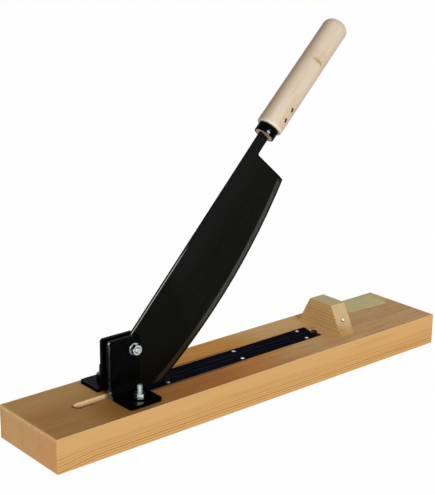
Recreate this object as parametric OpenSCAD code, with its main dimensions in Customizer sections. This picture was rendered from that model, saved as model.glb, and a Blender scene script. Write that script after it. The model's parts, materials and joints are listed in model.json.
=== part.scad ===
// Lever fodder cutter: a long pivoted blade that chops stalks between two steel bars let into a board.
// Millimetres. The origin is the middle of the board's underside, +X runs along the board towards the
// handle's end, +Y to the back and +Z up. The lever is drawn at lever_up degrees above its shut, level place.

/* [Base board] */
// Length of the board
board_l = 680; // [640:1:760]
// Width of the board
board_w = 130; // [124:1:170]
// Thickness of the board
board_h = 46; // [44:1:60]
// Bevel planed on the edges of the board
arris = 0.8; // [0.3:0.1:2]
// Cutting plane, measured back from the board's centre line
cut_y = 1; // [-2:0.5:3]

/* [Slot] */
// Width of the slot under the blade
slot_w = 14; // [10:0.5:18]
// Tip of the slot, measured left from the pivot
slot_tail = 86.7; // [70:0.1:110]
// Tip of the slot, measured past the blade's tip when the lever is shut
slot_past = 30.5; // [10:0.5:34]
// Depth left below the shut blade's edge
slot_spare = 4; // [1:0.5:6]

/* [Pivot] */
// Place of the pivot along the board, from its middle
pivot_x = -184; // [-200:1:-170]
// Height of the pivot above the board
pivot_h = 59; // [56:0.5:64]
// Angle of the lever above its shut place
lever_up = 47.2; // [10:0.1:90]
// Radial clearance of the blade on its bolt
pivot_play = 0.05; // [0.02:0.01:0.1]
// Gap on each side of the blade at the pivot
side_play = 0.1; // [0.05:0.05:0.4]
// Diameter of the spacers beside the blade
spacer_d = 22; // [16:1:26]
// Thickness of the spacers beside the blade
spacer_t = 1.6; // [1:0.1:2.5]
// Diameter of the pivot bolt
pivot_d = 8; // [7:0.5:10]
// Width across the flats of its head and nut
pivot_af = 13; // [12:0.1:16]
// Diameter of its washers
pivot_washer_d = 16; // [15:0.5:20]
// Turn of its nut
pivot_nut_turn = 15; // [0:1:60]
// Length of the pivot bolt past its nut
pivot_proud = 2; // [1:0.5:6]

/* [Blade] */
// Thickness of the blade
blade_t = 5; // [4:0.5:6]
// Length of the blade's spine from the pivot to the blade's end
blade_l = 307.5; // [290:0.5:330]
// How far the blade's end leans out, from its spine to its edge
end_lean = 2.7; // [0:0.1:6]
// Length of the blade behind the pivot
blade_tail = 40; // [34:1:46]
// Height of the spine over the pivot
spine_up = 10; // [9:0.5:14]
// Rounding of the tail's corner
tail_r = 14; // [4:1:16]
// Depth of the cutting edge below the pivot, at its deepest place
edge_depth = 92; // [80:1:94]
// Place of the deepest edge, along the blade from the pivot
edge_mid = 127; // [100:1:160]
// Radius of the curved cutting edge
edge_r = 780; // [660:5:900]
// Width of the ground bevel
bevel_w = 10; // [6:0.5:14]
// Thickness left at the cutting edge
edge_t = 0.4; // [0.2:0.1:1]
// Width of the tang
tang_w = 16; // [13:0.5:19]
// Fillet where the tang meets the blade
neck_r = 3; // [2:0.5:9]

/* [Handle] */
// Bare tang between the blade and the ferrule
neck_l = 26.5; // [12:0.5:30]
// Length of the ferrule
ferrule_l = 12.5; // [10:0.5:24]
// Outside diameter of the ferrule
ferrule_d = 29; // [26:0.5:32]
// Wall of the ferrule
ferrule_wall = 2; // [1:0.25:2.25]
// Length of the handle's grip
handle_l = 180.5; // [150:0.5:220]
// Diameter of the handle's grip, at its lower rim
handle_d = 36.6; // [34:0.1:42]
// How much slimmer the grip is at its top
handle_slim = 1.2; // [0:0.1:4]
// Rounding of the handle's top
handle_dome = 12; // [4:0.5:15]
// Height of the handle's lower rim over the lever's line
handle_up = 1.9; // [0:0.1:2.5]
// Droop of the handle from the lever's line, in degrees
handle_tilt = 1.3; // [0:0.1:2]
// Rounding of the handle's lower rim
handle_rim = 1.5; // [0.5:0.25:3]
// Diameter of the cross pins
pin_d = 5; // [3:0.25:6]
// Place of the lower pin, from the handle's lower rim
pin_set = 16.5; // [10:0.5:24]
// Distance between the pins
pin_pitch = 17; // [12:0.5:28]
// Depth of the pins' ends below the wood
pin_sink = 1; // [0.2:0.1:2]
// Length of the tang past the upper pin
tang_past = 24; // [8:1:40]

/* [Brackets] */
// Width of the flat bar
bracket_w = 50; // [40:1:60]
// Thickness of the flat bar
bracket_t = 5; // [4:0.5:6]
// Height of the uprights above the board
bracket_up = 76.5; // [74:0.5:90]
// Length of a foot, from the face beside the blade to its free edge
foot_l = 52.3; // [48:0.1:56]
// Inner radius of the bend
bend_r = 11; // [5:0.5:14]
// Rounding of the corners
corner_r = 4; // [1:0.5:8]
// Place of the pivot, from the uprights' right edge
pivot_edge = 10; // [9:0.5:20]
// Place of the bolt in a foot, from the foot's free edge
foot_bolt_in = 15.5; // [12:0.5:22]

/* [Fasteners] */
// Diameter of the foot bolts
bolt_d = 8; // [6:0.5:8]
// Radial clearance round the bolts
bolt_gap = 0.25; // [0.1:0.05:0.5]
// Radial clearance in nuts and round pins, screws and nails
thread_gap = 0.05; // [0.02:0.01:0.1]
// Width across the flats of the foot bolts' heads and nuts
hex_af = 13; // [11:0.5:14]
// Height of a nut
nut_h = 6.5; // [5:0.5:8]
// Height of a bolt head
head_h = 5.3; // [4:0.1:6.5]
// Diameter of the foot bolts' washers
washer_d = 16; // [15:0.5:18]
// Thickness of the washers
washer_t = 1.6; // [1:0.1:2.5]
// Turn of the foot nuts
foot_nut_turn = 30; // [0:1:60]
// Length of a foot bolt past its nut
stud_up = 12; // [3:0.5:20]
// Diameter of the wells that hide the foot bolts' heads
well_d = 22; // [19:0.5:26]
// Depth of those wells
well_h = 12.6; // [10:0.1:20]

/* [Counter bars] */
// Width of a bar
bar_w = 17; // [14:0.1:18]
// Thickness of a bar
bar_t = 8; // [5:0.5:12]
// Depth of the bars' tops below the board's top
bar_sink = 0.5; // [0.25:0.25:4]
// Gap between the blade and each bar
slit_gap = 0.5; // [0.3:0.1:1.5]
// Bars' left end, measured left from the pivot
bar_tail = 7.5; // [0:0.5:20]
// Bars' right end, measured past the blade's tip when the lever is shut
bar_past = 16; // [1:0.5:18]
// Rear bar's place, right of the front one
bar_shift = 7; // [0:0.5:10]
// Gap between the bars and the sides of their pocket
bar_gap = 0.1; // [0.05:0.05:0.5]
// Pocket's left end, measured left from the front bar
pocket_left = 4; // [1:0.5:10]
// Pocket's right end, measured right from the rear bar
pocket_right = 1.5; // [1:0.5:14]
// Place of the screws, from a bar's outer edge
screw_in = 6.4; // [5:0.1:7]
// Place of the first screw, from a bar's left end
screw_first = 59; // [20:1:80]
// Place of the last screw, from a bar's right end
screw_last = 17.3; // [5:0.1:24]
// Distance between the middle screw and the last one
screw_pitch = 123.4; // [90:0.1:140]
// Diameter of a screw's head
screw_head_d = 6; // [5:0.5:9]
// Height of a screw's head
screw_head_h = 1; // [0.8:0.1:3]
// Diameter of a screw's shank
screw_d = 4; // [3:0.25:5]
// Length of a screw's shank
screw_l = 26; // [18:1:34]

/* [Rest block] */
// Thickness of the block, along the board
block_l = 27.5; // [20:0.5:40]
// Left face of the block, measured left from the rim of the shut handle
block_lead = 1.4; // [0:0.1:4]
// Width of the block's top
block_top = 43; // [36:1:50]
// Width of the block's foot
block_foot = 87.5; // [70:0.5:100]
// Gap between the block and the handle of the shut lever
seat_gap = 0.3; // [0.1:0.05:1]
// Diameter of a nail
nail_d = 3.5; // [2.5:0.1:4]
// Length of a nail
nail_l = 50; // [40:1:56]
// Diameter of a nail's head
nail_head_d = 7; // [5.5:0.1:8]
// Thickness of a nail's head
nail_head_t = 1.2; // [0.8:0.1:2]
// Height of the nails' heads above the board
nail_up = 20; // [14:0.5:26]
// Slope of the nails below the level
nail_slope = 55; // [45:1:65]
// Sideways distance between the two nails
nail_stagger = 6; // [5:0.5:8]

/* [Hidden] */
$fn = 64;
// Cuts run past the faces that they open by this much
past = 1;

// Heights from the board's underside
pivot_z = board_h + pivot_h;
bar_top = board_h - bar_sink;
pocket_floor = bar_top - bar_t;
slot_floor = pivot_z - edge_depth - slot_spare;

// The lever's parts, along it from the pivot
ferrule_at = blade_l + neck_l;
handle_at = ferrule_at + ferrule_l;
tang_end = handle_at + pin_set + pin_pitch + tang_past;
pin_places = [handle_at + pin_set, handle_at + pin_set + pin_pitch];
tenon_d = ferrule_d - 2 * ferrule_wall - 2 * thread_gap;
tang_z = spine_up - tang_w;
neck_x = blade_l + end_lean * tang_w / (spine_up + edge_depth);

// Across the cutting plane
half_gap = blade_t / 2 + side_play + spacer_t;
upright_out = half_gap + bracket_t;
foot_bolt_y = half_gap + foot_l - foot_bolt_in;
slit_w = blade_t + 2 * slit_gap;
pocket_w = slit_w + 2 * bar_w + 2 * bar_gap;
screw_y = slit_w / 2 + bar_w - screw_in;

// Along the board
bracket_x = pivot_x + pivot_edge - bracket_w;
foot_bolt_x = bracket_x + bracket_w / 2;
blade_tip_x = pivot_x + blade_l;
bar_x = pivot_x - bar_tail;
bar_l = blade_tip_x + bar_past - bar_x;
screw_places = [screw_first, bar_l - screw_last - screw_pitch, bar_l - screw_last];
pocket_x = bar_x - pocket_left;
pocket_l = bar_l + bar_shift + pocket_left + pocket_right;
block_x = pivot_x + handle_at - block_lead;

// The block carries the handle when the lever lies level, at its own right edge
seat_x = block_l - block_lead;
block_h = pivot_h + handle_up - seat_x * sin(handle_tilt) - handle_d / 2 / cos(handle_tilt) - seat_gap;
function block_half(height) = (block_foot - (block_foot - block_top) * height / block_h) / 2;

// Up from a bracket's foot: the foot bolt's end
stud_top = board_h + bracket_t + washer_t + nut_h + stud_up;

wood = "burlywood";
black_paint = [0.07, 0.07, 0.07];
zinc = "silver";
blued = [0.13, 0.14, 0.17];

// Shapes that repeat

// Rectangle with cut corners, centred
module cut_rectangle(w, h, cut) {
    x = w / 2;
    y = h / 2;
    polygon([
        [-x + cut, -y], [x - cut, -y], [x, -y + cut], [x, y - cut],
        [x - cut, y], [-x + cut, y], [-x, y - cut], [-x, -y + cut]
    ]);
}

// Box with every edge bevelled, standing on its middle
module bevelled_box(l, w, h, cut) {
    intersection() {
        linear_extrude(h) cut_rectangle(l, w, cut);
        translate([0, w / 2, h / 2]) rotate([90, 0, 0]) linear_extrude(w) cut_rectangle(l, h, cut);
        translate([-l / 2, 0, h / 2]) rotate([90, 0, 90]) linear_extrude(l) cut_rectangle(w, h, cut);
    }
}

// Strip from Y = 0, with the corners of its far end rounded
module rounded_strip(w, l, r) {
    square([w, l - r]);
    translate([r, 0]) square([w - 2 * r, l]);
    for (x = [r, w - r]) {
        translate([x, l - r]) circle(r);
    }
}

// Ring standing on Z = 0
module ring(d, hole_d, h) {
    difference() {
        cylinder(d = d, h = h);
        translate([0, 0, -past]) cylinder(d = hole_d, h = h + 2 * past);
    }
}

module washer(d, hole_for) {
    ring(d, hole_for + 2 * bolt_gap, washer_t);
}

// Hexagon with its outer corners turned off at the top
module hexagon(af, h) {
    corner_d = af / cos(30);
    turned = (corner_d - af) / 2;
    intersection() {
        cylinder(d = corner_d, h = h, $fn = 6);
        union() {
            cylinder(d = corner_d + past, h = h - turned / 2);
            translate([0, 0, h - turned / 2]) cylinder(d1 = corner_d, d2 = af, h = turned / 2);
        }
    }
}

module nut(d, af) {
    difference() {
        hexagon(af, nut_h);
        translate([0, 0, -past]) cylinder(d = d + 2 * thread_gap, h = nut_h + 2 * past);
    }
}

// Bolt with its shank up from Z = 0 and its head below
module bolt(d, af, shank_l) {
    tip = d / 8;
    mirror([0, 0, 1]) hexagon(af, head_h);
    cylinder(d = d, h = shank_l - tip);
    translate([0, 0, shank_l - tip]) cylinder(d1 = d, d2 = d - 2 * tip, h = tip);
}

// Screw with its head on Z = 0 and its pointed shank below
module screw() {
    dome_r = (screw_head_d * screw_head_d / 4 + screw_head_h * screw_head_h) / (2 * screw_head_h);
    intersection() {
        cylinder(d = screw_head_d, h = screw_head_h);
        translate([0, 0, screw_head_h - dome_r]) sphere(dome_r);
    }
    spike(screw_d, screw_l);
}

// Nail with its head on Z = 0
module nail() {
    cylinder(d = nail_head_d, h = nail_head_t);
    spike(nail_d, nail_l);
}

// Round shank with a point, down from Z = 0
module spike(d, l) {
    mirror([0, 0, 1]) {
        cylinder(d = d, h = l - d);
        translate([0, 0, l - d]) cylinder(d1 = d, d2 = d / 8, h = d);
    }
}

// Hole for such a shank, open above Z = 0
module spike_hole(d, l) {
    hole_d = d + 2 * thread_gap;
    translate([0, 0, -l - thread_gap]) cylinder(d = hole_d, h = l + thread_gap + past);
}

// Places

// The pivot, with +Z turned to point along +Y
module across_pivot(y) {
    translate([pivot_x, cut_y + y, pivot_z]) rotate([-90, 0, 0]) children();
}

// The lever's own frame: +X along it from the pivot, the cutting edge on the -Z side
module on_lever() {
    translate([pivot_x, cut_y, pivot_z]) rotate([0, -lever_up, 0]) children();
}

// The handle's frame: +X along it from its lower rim
module on_handle() {
    on_lever() translate([handle_at, 0, handle_up]) rotate([0, handle_tilt, 0]) children();
}

// Both foot bolts, at the board's underside
module at_foot_bolts() {
    for (y = [-foot_bolt_y, foot_bolt_y]) {
        translate([foot_bolt_x, cut_y + y, 0]) children();
    }
}

// The screws of one bar: side is -1 for the front bar and 1 for the rear bar
module at_bar_screws(side) {
    shift = side > 0 ? bar_shift : 0;
    for (x = screw_places) {
        translate([bar_x + shift + x, cut_y + side * screw_y, bar_top]) children();
    }
}

// The two nails, driven down and inwards through the block's sloping ends
module at_nails() {
    for (rear = [0, 1]) {
        translate([block_x + block_l / 2 + rear * nail_stagger, cut_y, board_h])
            mirror([0, rear, 0])
                translate([0, -block_half(nail_up), nail_up])
                    rotate([90 - nail_slope, 0, 0])
                        children();
    }
}

// Base and rest

module base_board() {
    slot_l = slot_tail + blade_l + slot_past;
    color(wood) difference() {
        bevelled_box(board_l, board_w, board_h, arris);
        // slot for the blade, with round ends
        translate([pivot_x - slot_tail, cut_y, slot_floor]) linear_extrude(board_h) {
            translate([slot_w / 2, -slot_w / 2]) square([slot_l - slot_w, slot_w]);
            for (x = [slot_w / 2, slot_l - slot_w / 2]) {
                translate([x, 0]) circle(d = slot_w);
            }
        }
        // pocket for the counter bars
        translate([pocket_x, cut_y - pocket_w / 2, pocket_floor]) cube([pocket_l, pocket_w, board_h]);
        at_foot_bolts() {
            translate([0, 0, -past]) cylinder(d = well_d, h = well_h + past);
            cylinder(d = bolt_d + 2 * bolt_gap, h = board_h + past);
        }
        for (side = [-1, 1]) {
            at_bar_screws(side) spike_hole(screw_d, screw_l);
        }
        at_nails() spike_hole(nail_d, nail_l);
    }
}

module rest_block() {
    color(wood) difference() {
        translate([block_x, cut_y, board_h]) rotate([90, 0, 90]) linear_extrude(block_l) polygon([
            [-block_foot / 2, 0], [block_foot / 2, 0], [block_top / 2, block_h], [-block_top / 2, block_h]
        ]);
        at_nails() {
            spike_hole(nail_d, nail_l);
            cylinder(d = nail_head_d + 2 * thread_gap, h = nail_head_d);
        }
    }
}

module rest_block_nails() {
    color(zinc) at_nails() nail();
}

// Brackets and their bolts

// Bent strip: its upright's plain face lies on Y = 0 and its foot runs towards -Y
module bracket() {
    bend_out = bend_r + bracket_t;
    difference() {
        union() {
            translate([0, 0, bend_out]) rotate([90, 0, 0]) linear_extrude(bracket_t)
                rounded_strip(bracket_w, bracket_up - bend_out, corner_r);
            translate([0, -bend_out, bend_out]) rotate([90, 0, 90]) rotate([0, 0, -90])
                rotate_extrude(angle = 90) translate([bend_r, 0]) square([bracket_t, bracket_w]);
            translate([0, -bend_out, 0]) mirror([0, 1, 0]) linear_extrude(bracket_t)
                rounded_strip(bracket_w, foot_l - bend_out, corner_r);
        }
        translate([bracket_w - pivot_edge, past, pivot_h]) rotate([90, 0, 0])
            cylinder(d = pivot_d + 2 * bolt_gap, h = bracket_t + 2 * past);
        translate([bracket_w / 2, foot_bolt_in - foot_l, -past])
            cylinder(d = bolt_d + 2 * bolt_gap, h = bracket_t + 2 * past);
    }
}

module front_bracket() {
    color(black_paint) translate([bracket_x, cut_y - half_gap, board_h]) bracket();
}

module rear_bracket() {
    color(black_paint) translate([bracket_x, cut_y + half_gap, board_h]) mirror([0, 1, 0]) bracket();
}

module foot_bolts() {
    head_top = well_h - washer_t;
    color(zinc) at_foot_bolts() translate([0, 0, head_top]) bolt(bolt_d, hex_af, stud_top - head_top);
}

module foot_bolt_head_washers() {
    color(zinc) at_foot_bolts() translate([0, 0, well_h - washer_t]) washer(washer_d, bolt_d);
}

module foot_nut_washers() {
    color(zinc) at_foot_bolts() translate([0, 0, board_h + bracket_t]) washer(washer_d, bolt_d);
}

module foot_nuts() {
    color(zinc) at_foot_bolts() translate([0, 0, board_h + bracket_t + washer_t])
        rotate([0, 0, foot_nut_turn]) nut(bolt_d, hex_af);
}

// Counter bars

module counter_bar(side) {
    shift = side > 0 ? bar_shift : 0;
    inner_y = side > 0 ? slit_w / 2 : -slit_w / 2 - bar_w;
    difference() {
        translate([bar_x + shift, cut_y + inner_y, pocket_floor]) cube([bar_l, bar_w, bar_t]);
        at_bar_screws(side) spike_hole(screw_d, screw_l);
    }
}

module front_counter_bar() {
    color(blued) counter_bar(-1);
}

module rear_counter_bar() {
    color(blued) counter_bar(1);
}

module front_bar_screws() {
    color(zinc) at_bar_screws(-1) screw();
}

module rear_bar_screws() {
    color(zinc) at_bar_screws(1) screw();
}

// Pivot, from the head at the back to the nut at the front

module pivot_bolt() {
    reach = upright_out + washer_t;
    shank_l = 2 * reach + nut_h + pivot_proud;
    color(zinc) across_pivot(reach) mirror([0, 0, 1]) bolt(pivot_d, pivot_af, shank_l);
}

module pivot_head_washer() {
    color(zinc) across_pivot(upright_out) washer(pivot_washer_d, pivot_d);
}

module pivot_nut_washer() {
    color(zinc) across_pivot(-upright_out - washer_t) washer(pivot_washer_d, pivot_d);
}

module pivot_nut() {
    color(zinc) across_pivot(-upright_out - washer_t) mirror([0, 0, 1])
        rotate([0, 0, pivot_nut_turn]) nut(pivot_d, pivot_af);
}

module front_blade_spacer() {
    color(zinc) across_pivot(-half_gap) ring(spacer_d, pivot_d + 2 * bolt_gap, spacer_t);
}

module rear_blade_spacer() {
    color(zinc) across_pivot(half_gap - spacer_t) ring(spacer_d, pivot_d + 2 * bolt_gap, spacer_t);
}

// Lever

// Side view of the blade and its tang, as yet without the curved edge
module blade_outline() {
    difference() {
        polygon([
            [-blade_tail, -edge_depth], [blade_l + end_lean, -edge_depth],
            [blade_l, spine_up], [-blade_tail, spine_up]
        ]);
        // rounded corner of the tail
        translate([-blade_tail, spine_up]) difference() {
            translate([-past, -tail_r]) square([tail_r + past, tail_r + past]);
            translate([tail_r, -tail_r]) circle(tail_r);
        }
    }
    translate([blade_l - past, tang_z]) square([tang_end - blade_l + past, tang_w]);
    // fillet in the corner between the blade's end and the tang
    translate([neck_x, tang_z]) difference() {
        translate([-past, -neck_r]) square([neck_r + past, neck_r + past]);
        translate([neck_r, -neck_r]) circle(neck_r);
    }
}

// Disc whose thinned rim is the cutting edge
module edge_disc() {
    translate([edge_mid, 0, edge_r - edge_depth]) rotate([90, 0, 0]) rotate_extrude($fn = 360) polygon([
        [0, -blade_t / 2], [edge_r - bevel_w, -blade_t / 2], [edge_r, -edge_t / 2],
        [edge_r, edge_t / 2], [edge_r - bevel_w, blade_t / 2], [0, blade_t / 2]
    ]);
}

module blade() {
    color(black_paint) on_lever() difference() {
        intersection() {
            rotate([90, 0, 0]) linear_extrude(blade_t, center = true) blade_outline();
            edge_disc();
        }
        rotate([90, 0, 0]) cylinder(d = pivot_d + 2 * pivot_play, h = blade_t + 2 * past, center = true);
        for (x = pin_places) {
            translate([x, 0, 0]) rotate([90, 0, 0])
                cylinder(d = pin_d + 2 * thread_gap, h = blade_t + 2 * past, center = true);
        }
    }
}

module ferrule() {
    color(black_paint) on_handle() translate([-ferrule_l, 0, 0]) rotate([0, 90, 0])
        ring(ferrule_d, ferrule_d - 2 * ferrule_wall, ferrule_l);
}

// Half section of the slim, tapered grip, rounded at both ends
module grip_profile() {
    r = handle_d / 2;
    top_r = r - handle_slim / 2;
    intersection() {
        square([r, handle_l]);
        union() {
            polygon([
                [0, 0], [r - handle_rim, 0], [r, handle_rim],
                [top_r, handle_l - handle_dome], [top_r - handle_dome, handle_l], [0, handle_l]
            ]);
            translate([r - handle_rim, handle_rim]) circle(handle_rim);
            translate([top_r - handle_dome, handle_l - handle_dome]) circle(handle_dome);
        }
    }
}

module handle() {
    tang_room = thread_gap;
    mortise_l = tang_end + tang_room - ferrule_at + past;
    mortise_y = blade_t + 2 * tang_room;
    mortise_z = tang_w + 2 * tang_room;
    color("wheat") difference() {
        on_handle() rotate([0, 90, 0]) {
            rotate_extrude() grip_profile();
            translate([0, 0, -ferrule_l]) cylinder(d = tenon_d, h = ferrule_l + handle_rim);
        }
        on_lever() {
            // mortise for the tang
            translate([ferrule_at - past, -mortise_y / 2, tang_z - tang_room])
                cube([mortise_l, mortise_y, mortise_z]);
            for (x = pin_places) {
                translate([x, 0, 0]) rotate([90, 0, 0])
                    cylinder(d = pin_d + 2 * thread_gap, h = handle_d + 2 * past, center = true);
            }
        }
    }
}

module handle_pins() {
    color("dimgray") on_lever() for (x = pin_places) {
        translate([x, 0, 0]) rotate([90, 0, 0])
            cylinder(d = pin_d, h = handle_d - 2 * pin_sink, center = true);
    }
}

base_board();
rest_block();
rest_block_nails();
front_bracket();
rear_bracket();
foot_bolts();
foot_bolt_head_washers();
foot_nut_washers();
foot_nuts();
front_counter_bar();
rear_counter_bar();
front_bar_screws();
rear_bar_screws();
pivot_bolt();
pivot_head_washer();
pivot_nut_washer();
pivot_nut();
front_blade_spacer();
rear_blade_spacer();
blade();
ferrule();
handle();
handle_pins();
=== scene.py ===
"""Looks of the lever fodder cutter: finishes, small details, studio light and the photograph's camera."""
import json
import math

import bmesh
import bpy
from mathutils import Matrix, Vector


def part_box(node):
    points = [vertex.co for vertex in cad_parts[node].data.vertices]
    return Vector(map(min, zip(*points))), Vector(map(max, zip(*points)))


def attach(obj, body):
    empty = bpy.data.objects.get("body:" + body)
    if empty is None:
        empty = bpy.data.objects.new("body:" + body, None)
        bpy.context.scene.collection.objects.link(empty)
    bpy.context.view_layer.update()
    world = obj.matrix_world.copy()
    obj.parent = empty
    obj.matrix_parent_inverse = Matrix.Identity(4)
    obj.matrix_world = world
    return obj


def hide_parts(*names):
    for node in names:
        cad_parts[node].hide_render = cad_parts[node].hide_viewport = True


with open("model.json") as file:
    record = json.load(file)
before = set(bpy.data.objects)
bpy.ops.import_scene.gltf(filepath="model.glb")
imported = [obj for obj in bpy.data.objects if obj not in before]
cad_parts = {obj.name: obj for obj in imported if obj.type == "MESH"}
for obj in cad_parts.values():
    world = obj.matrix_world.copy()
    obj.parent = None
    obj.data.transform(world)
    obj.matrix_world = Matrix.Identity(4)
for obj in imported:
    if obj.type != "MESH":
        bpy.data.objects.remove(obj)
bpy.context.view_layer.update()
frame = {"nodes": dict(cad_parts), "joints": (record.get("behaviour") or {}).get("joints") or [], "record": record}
nodes = frame["nodes"]
MM = 0.001

# Places worked out from the frame, in metres.
board_low, board_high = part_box("base_board")
block_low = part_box("rest_block")[0]
bar_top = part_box("front_counter_bar")[1].z
foot_low, foot_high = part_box("front_bracket")
bolts_low, bolts_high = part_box("foot_bolts")
pivot_bolt_low, pivot_bolt_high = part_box("pivot_bolt")
pivot = Vector(frame["joints"][0]["pos_m"])

# The nails' heads lie on slopes at the block's front and back.
NAIL_SLOPE = math.radians(55)
NAIL_HEAD_RADIUS = 3.5 * MM
nails_low, nails_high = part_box("rest_block_nails")
nail_in = NAIL_HEAD_RADIUS * math.sin(NAIL_SLOPE)
nail_height = nails_high.z - NAIL_HEAD_RADIUS * math.cos(NAIL_SLOPE)
front_nail = Vector((nails_low.x + NAIL_HEAD_RADIUS, nails_low.y + nail_in, nail_height))
rear_nail = Vector((nails_high.x - NAIL_HEAD_RADIUS, nails_high.y - nail_in, nail_height))

# Fasteners. The thread is the coarse one usual for the bolts' size.
# A head's corner is at angle 0 about its bolt.
HEAD_FLATS = pivot_bolt_high.z - pivot_bolt_low.z
HEAD_HEIGHT = 5.3 * MM
BOLT_RADIUS = 4 * MM
THREAD_PITCH = 1.25 * MM
THREAD_DEPTH = 0.6 * MM
THREAD_LENGTH = 22 * MM
SCREW_RADIUS = 2 * MM
SCREW_LENGTH = 26 * MM
SCREW_HEAD_RADIUS = 3 * MM
SCREW_HEAD_HEIGHT = 1 * MM
SCREW_PITCH = 123.4 * MM
SIDES = 48

# The crossed recess in a screw's head: half an arm's width, its sloping wall, its reach,
# how it runs out there, and its depth.
RECESS_HALF = 0.62 * MM
RECESS_WALL = 0.22 * MM
RECESS_REACH = 1.9 * MM
RECESS_RUN_OUT = 0.5 * MM
RECESS_DEPTH = 0.65 * MM

# The slot and pocket cut in the board's top.
SLOT_LEFT = -0.2637
SLOT_HALF = 7 * MM
POCKET_HALF = 22 * MM
POCKET_END = 0.148

# The raised lever: its slope, the handle's droop from it, its cutting edge's arc,
# and places along it from the pivot, in metres.
SPINE_RISE = math.radians(47.2)
HANDLE_RISE = math.radians(47.2 - 1.3)
EDGE_RADIUS = 0.780
EDGE_MID = 0.127
EDGE_DEPTH = 0.092
BEVEL_WIDTH = 0.010
BAR_THICK = 0.005
BLADE_LENGTH = 0.3075
HANDLE_AT = 0.3465
HANDLE_OVER = 0.0019
PIN_PLACES = (0.363, 0.380)
PIN_RADIUS = 0.0025
# Place of the painted reflection on the ferrule's lower rim.
FERRULE_GLINT_AT = 0.3365
FERRULE_GLINT_OVER = 0.0085
FERRULE_GLINT_FORWARD = 0.0117

# The branch in the handle's wood, along the handle from its lower rim: its warm band and its dark mark.
BRANCH_BAND_AT = 0.117
BRANCH_MARK_AT = 0.1113

# Directions and places on the raised lever.
lever_along = Vector((math.cos(SPINE_RISE), 0, math.sin(SPINE_RISE)))
lever_up = Vector((-math.sin(SPINE_RISE), 0, math.cos(SPINE_RISE)))
edge_centre = pivot + EDGE_MID * lever_along + (EDGE_RADIUS - EDGE_DEPTH) * lever_up
handle_rim = pivot + HANDLE_AT * lever_along + HANDLE_OVER * lever_up
handle_along = Vector((math.cos(HANDLE_RISE), 0, math.sin(HANDLE_RISE)))
# The painted reflection on the ferrule's lower rim.
ferrule_glint = pivot + FERRULE_GLINT_AT * lever_along + FERRULE_GLINT_OVER * lever_up
ferrule_glint.y -= FERRULE_GLINT_FORWARD

# Camera, solved from the board's edges in the photograph. Metres and degrees.
PHOTO_HEIGHT_PX = 495
FOCAL_PX = 1223.29
SENSOR = 36.0
EYE = Vector((-1.04745, -1.17940, 0.69296))
AZIMUTH = math.radians(-40.543)
ELEVATION = math.radians(17.289)
ROLL = math.radians(-0.674)

# The bare label: its corners on the board's top in millimetres, and how far its edges lift.
LABEL_CORNERS = ((253.5, 64), (335.2, 61.6), (323.5, 14.6), (245, 20.3))
LABEL_THICK = 0.15 * MM
LABEL_GAP = 0.05 * MM
LABEL_LIFT = 0.25 * MM

# Light: the key lamp, the soft surroundings and the floor's glow, which is fuller where it is seen.
KEY_FROM = (-0.33, -0.87, 0.36)
KEY_STRENGTH = 1.68
KEY_SPREAD = 25
AROUND_STRENGTH = 0.30
FLOOR_HALF = 6.0
FLOOR_GLOW = 0.45
FLOOR_GLOW_SEEN = 0.985


def make_camera():
    """Camera at the photograph's place and angle."""
    forward = Vector((
        -math.sin(AZIMUTH) * math.cos(ELEVATION),
        math.cos(AZIMUTH) * math.cos(ELEVATION),
        -math.sin(ELEVATION),
    ))
    level_right = Vector((math.cos(AZIMUTH), math.sin(AZIMUTH), 0))
    level_down = forward.cross(level_right)
    right = math.cos(ROLL) * level_right + math.sin(ROLL) * level_down
    up = right.cross(forward)
    turn = Matrix((right, up, -forward)).transposed()
    data = bpy.data.cameras.new("photo_camera")
    data.sensor_width = SENSOR
    data.lens = FOCAL_PX / PHOTO_HEIGHT_PX * SENSOR
    camera = bpy.data.objects.new("photo_camera", data)
    camera.matrix_world = Matrix.Translation(EYE) @ turn.to_4x4()
    bpy.context.scene.collection.objects.link(camera)
    bpy.context.scene.camera = camera


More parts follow.
